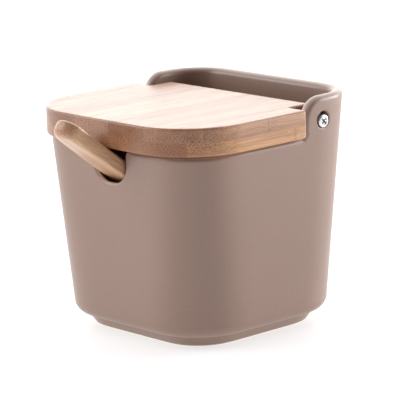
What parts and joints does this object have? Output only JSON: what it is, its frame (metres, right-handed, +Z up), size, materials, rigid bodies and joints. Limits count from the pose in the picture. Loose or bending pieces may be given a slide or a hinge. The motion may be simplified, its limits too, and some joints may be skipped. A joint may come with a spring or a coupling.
{
  "type": "sugar bowl",
  "caption": "Square-plan glazed stoneware sugar bowl with a hinged bamboo lid, a raised back that holds the hinge, and a spoon that leans out through a front notch.",
  "frame": {"origin": "centre of the standing ring under the foot, on the surface the bowl stands on", "axes": "+Z up, -Y towards the front with the spoon notch, +X to the right when facing along +Y; the lid's hinge axis is parallel to X near the back"},
  "size_m": [0.1, 0.1173, 0.0924],
  "materials": {
    "glaze": "satin taupe glaze on stoneware",
    "bamboo_upper": "oiled laminated bamboo, fibres running front to back",
    "bamboo_lower": "oiled laminated bamboo, fibres running front to back",
    "bamboo_spoon": "oiled carved bamboo, fibres along the handle",
    "steel": "bright zinc-plated steel"
  },
  "bodies": {
    "bowl": {"bowl": "glaze"},
    "lid": {"upper_strip_1": "bamboo_upper", "upper_strip_2": "bamboo_upper", "upper_strip_3": "bamboo_upper", "upper_strip_4": "bamboo_upper", "upper_strip_5": "bamboo_upper", "upper_strip_6": "bamboo_upper", "lower_strip_1": "bamboo_lower", "lower_strip_2": "bamboo_lower", "lower_strip_3": "bamboo_lower", "lower_strip_4": "bamboo_lower", "lower_strip_5": "bamboo_lower", "hinge_screw_left": "steel", "hinge_screw_right": "steel"},
    "spoon": {"spoon": "bamboo_spoon"}
  },
  "joints": [
    {"name": "lid_hinge", "type": "hinge", "parent": "bowl", "child": "lid", "pos_m": [0, 0.0241, 0.0823], "axis": [-1, 0, 0], "range_deg": [0, 98]},
    {"name": "spoon_lift", "type": "slide", "parent": "bowl", "child": "spoon", "axis": [0, -0.8039, 0.5948], "range_m": [0, 0.036]}
  ]
}
